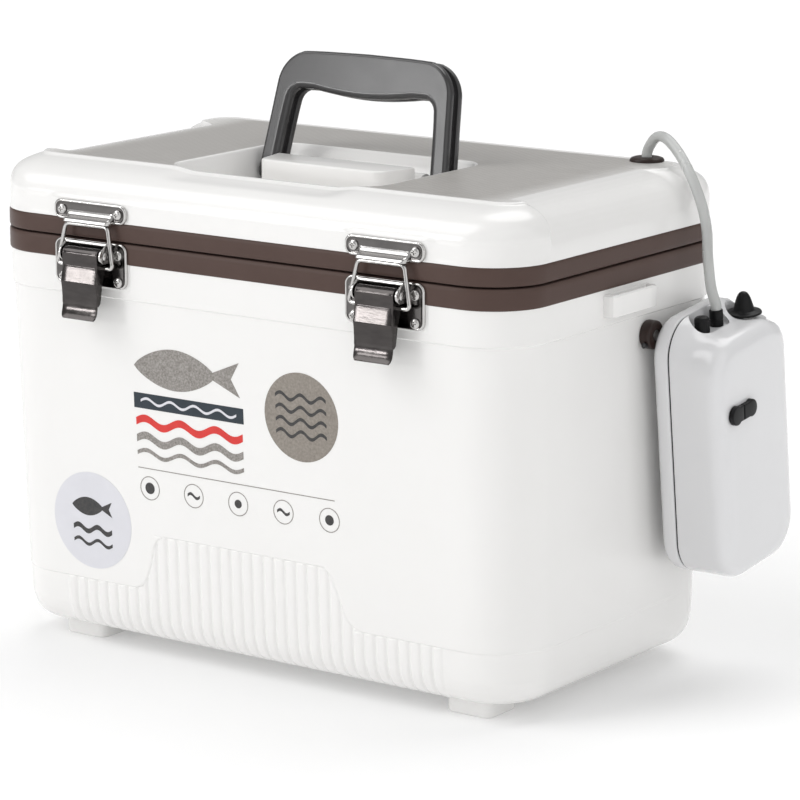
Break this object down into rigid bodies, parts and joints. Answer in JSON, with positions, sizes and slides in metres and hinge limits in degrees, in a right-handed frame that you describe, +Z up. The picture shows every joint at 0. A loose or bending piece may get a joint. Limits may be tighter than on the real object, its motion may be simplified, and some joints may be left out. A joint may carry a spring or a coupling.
{
  "type": "aerated bait bucket",
  "caption": "Insulated rectangular live-bait box with hinged lid, toggle latches, folding carry handle and a battery air pump feeding an air stone through a clear line.",
  "frame": {"origin": "middle of the whole object's footprint, on the surface it stands on", "axes": "+Z up; -Y is the front with the latches; +X is the end with the air pump"},
  "size_m": [0.4275, 0.2522, 0.3468],
  "materials": {
    "white_plastic": "glossy moulded",
    "liner_plastic": "smooth moulded",
    "foam": "rigid foam",
    "brown_plastic": "satin moulded",
    "gasket_rubber": "matt",
    "stainless": "polished",
    "handle_plastic": "satin moulded",
    "black_rubber": "matt",
    "brown_rubber": "matt",
    "black_plastic": "satin",
    "pump_plastic": "glossy moulded",
    "battery_case": "wrapped cell",
    "brass_contact": "bright",
    "motor_steel": "plated",
    "pale_plastic": "moulded",
    "clear_line": "translucent",
    "air_stone_grit": "sintered grit"
  },
  "bodies": {
    "box": {"outer_shell": "white_plastic", "body_foam": "foam", "inner_liner": "liner_plastic", "body_trim": "brown_plastic", "feet": "white_plastic", "hinge_body_leaves": "stainless", "hinge_pins": "stainless", "hinge_body_screws": "stainless", "latch_base_left": "stainless", "latch_base_right": "stainless", "latch_base_screws": "stainless", "latch_pivot_pins": "stainless", "pump_pegs": "brown_rubber", "peg_screws": "stainless", "pump_rail": "stainless", "pump_clip": "stainless", "pump_back_cover": "pump_plastic", "pump_seal": "black_rubber", "pump_housing": "pump_plastic", "pump_screws": "stainless", "pump_chassis": "black_plastic", "batteries": "battery_case", "battery_contacts": "brass_contact", "motor": "motor_steel", "diaphragm": "black_rubber", "pump_head": "black_plastic", "internal_hose": "clear_line", "outlet_manifold": "black_plastic", "line_collar": "black_rubber", "switch_body": "black_plastic", "switch_nut": "stainless", "switch_boot": "black_rubber", "dc_socket": "black_plastic", "dc_button": "black_rubber", "air_line": "clear_line", "inner_air_line": "clear_line", "air_stone": "air_stone_grit"},
    "lid": {"lid_shell": "white_plastic", "lid_foam": "foam", "lid_liner": "liner_plastic", "lid_trim": "brown_plastic", "lid_gasket": "gasket_rubber", "hinge_lid_leaves": "stainless", "hinge_lid_screws": "stainless", "keeper_left": "stainless", "keeper_right": "stainless", "keeper_screws": "stainless", "handle_block": "white_plastic", "handle_pins": "stainless", "line_grommet": "brown_rubber"},
    "carry_handle": {"handle": "handle_plastic"},
    "lever_left": {"latch_lever_left": "stainless"},
    "lever_right": {"latch_lever_right": "stainless"},
    "bail_left": {"latch_bail_left": "stainless"},
    "bail_right": {"latch_bail_right": "stainless"},
    "toggle": {"switch_lever": "stainless"},
    "crank": {"motor_crank": "stainless"},
    "yoke": {"pump_yoke": "pale_plastic"},
    "outlet_plug": {"outlet_cap": "black_rubber"},
    "power_flap": {"dc_cover": "black_rubber"}
  },
  "joints": [
    {"name": "lid_hinge", "type": "hinge", "parent": "box", "child": "lid", "pos_m": [-0.0232, 0.12223, 0.246], "axis": [-1, 0, 0], "range_deg": [0, 100], "deforming": ["air_line", "inner_air_line"]},
    {"name": "handle_fold", "type": "hinge", "parent": "lid", "child": "carry_handle", "pos_m": [-0.0232, 0.00263, 0.276], "axis": [1, 0, 0], "range_deg": [0, 100]},
    {"name": "latch_lever_left", "type": "hinge", "parent": "box", "child": "lever_left", "pos_m": [-0.1262, -0.11843, 0.2385], "axis": [-1, 0, 0], "range_deg": [0, 115]},
    {"name": "latch_bail_left", "type": "hinge", "parent": "lever_left", "child": "bail_left", "pos_m": [-0.1262, -0.11743, 0.2315], "axis": [-1, 0, 0], "range_deg": [-138, 0]},
    {"name": "latch_lever_right", "type": "hinge", "parent": "box", "child": "lever_right", "pos_m": [0.0798, -0.11843, 0.2385], "axis": [-1, 0, 0], "range_deg": [0, 115]},
    {"name": "latch_bail_right", "type": "hinge", "parent": "lever_right", "child": "bail_right", "pos_m": [0.0798, -0.11743, 0.2315], "axis": [-1, 0, 0], "range_deg": [-138, 0]},
    {"name": "switch_toggle", "type": "hinge", "parent": "box", "child": "toggle", "pos_m": [0.1913, 0.07923, 0.20567], "axis": [1, 0, 0], "range_deg": [-12, 12], "deforming": ["switch_boot"]},
    {"name": "motor_spin", "type": "hinge", "parent": "box", "child": "crank", "pos_m": [0.1888, 0.06267, 0.15588], "axis": [0, 0.9925, 0.1219], "continuous": true},
    {"name": "yoke_stroke", "type": "slide", "parent": "box", "child": "yoke", "axis": [0, -0.1219, 0.9925], "range_m": [0, 0.003], "deforming": ["diaphragm"]},
    {"name": "outlet_cap_pull", "type": "slide", "parent": "box", "child": "outlet_plug", "axis": [0, -0.1219, 0.9925], "range_m": [0, 0.012]},
    {"name": "power_flap_hinge", "type": "hinge", "parent": "box", "child": "power_flap", "pos_m": [0.2137, 0.0433, 0.16106], "axis": [0, 0.1219, -0.9925], "range_deg": [0, 100]}
  ],
  "couplings": [
    {"joint": "latch_bail_left", "follows": "latch_lever_left", "ratio": -1.2},
    {"joint": "latch_bail_right", "follows": "latch_lever_right", "ratio": -1.2}
  ]
}
